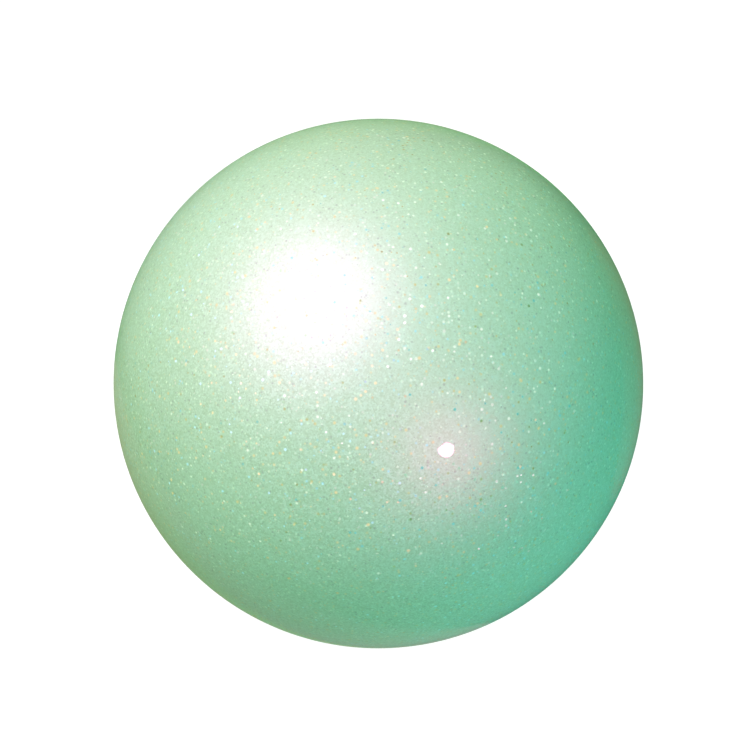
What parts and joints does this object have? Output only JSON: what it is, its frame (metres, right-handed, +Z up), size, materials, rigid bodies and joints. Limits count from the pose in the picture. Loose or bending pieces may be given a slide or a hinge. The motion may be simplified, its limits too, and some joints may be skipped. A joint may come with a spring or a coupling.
{
  "type": "rhythmic gymnastics ball",
  "caption": "Hollow inflatable ball with a pearl wall under a clear glitter skin, and a flush air valve whose ribbed plug pulls out for the pump.",
  "frame": {"origin": "centre of the ball", "axes": "+Z up, +Y along the air valve's axis and out of the ball, so that the valve is at the back when the ball is seen along +Y"},
  "size_m": [0.185, 0.1847, 0.185],
  "materials": {
    "glitter_skin": "clear gloss over mint pearl with fine glitter",
    "pearl_wall": "satin pearl",
    "valve_rubber": "matt moulded rubber",
    "plug_plastic": "satin moulded plastic"
  },
  "bodies": {
    "ball": {"glitter_skin": "glitter_skin", "pearl_wall": "pearl_wall", "valve_seat": "valve_rubber"},
    "plug": {"valve_plug": "plug_plastic"}
  },
  "joints": [
    {"name": "plug_pull", "type": "slide", "parent": "ball", "child": "plug", "axis": [0, 1, 0], "range_m": [0, 0.02]}
  ]
}
